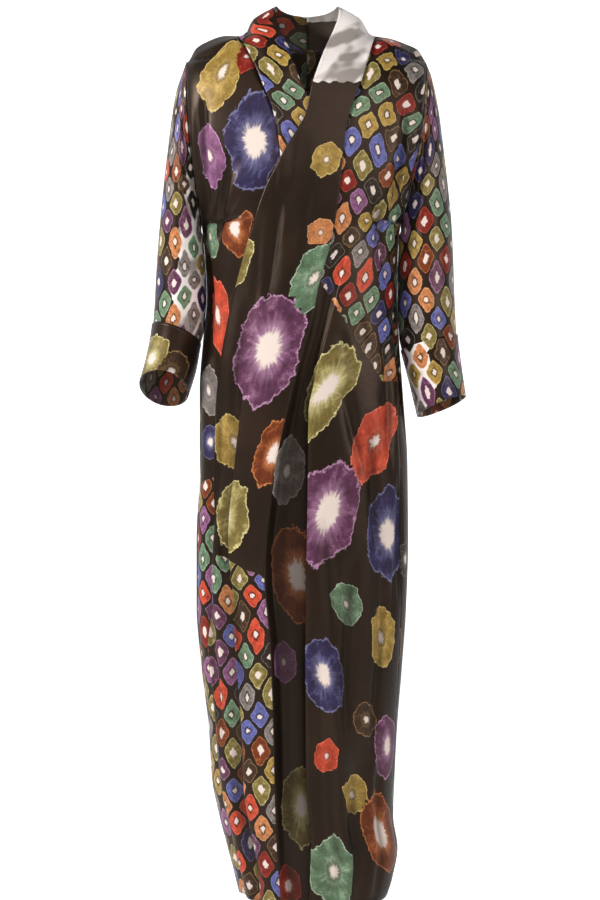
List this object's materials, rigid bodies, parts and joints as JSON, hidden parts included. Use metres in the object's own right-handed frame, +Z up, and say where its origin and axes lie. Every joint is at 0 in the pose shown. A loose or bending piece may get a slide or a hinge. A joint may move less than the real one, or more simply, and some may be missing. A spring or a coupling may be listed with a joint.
{
  "type": "kaftan",
  "caption": "Floor-length wrap kaftan of printed silk in its worn shape, with a wide standing band at neck and fronts, long sleeves and turned-back cuffs.",
  "frame": {"origin": "between the shoulders, under the neck, where the wearer carries the garment", "axes": "+Z up, the front faces -Y, +X is the wearer's left"},
  "size_m": [0.522, 0.2395, 1.4231],
  "materials": {
    "silk_body": "dark resist-dyed silk, soft sheen",
    "silk_band": "dark resist-dyed silk, soft sheen",
    "silk_cuff": "dark resist-dyed silk, soft sheen"
  },
  "bodies": {
    "root": {"back_left": "silk_body", "back_right": "silk_body", "front_left": "silk_body", "front_right": "silk_body", "band_left": "silk_band", "band_right": "silk_band", "sleeve_left": "silk_body", "sleeve_right": "silk_body", "cuff_left": "silk_cuff", "cuff_right": "silk_cuff"}
  },
  "joints": []
}
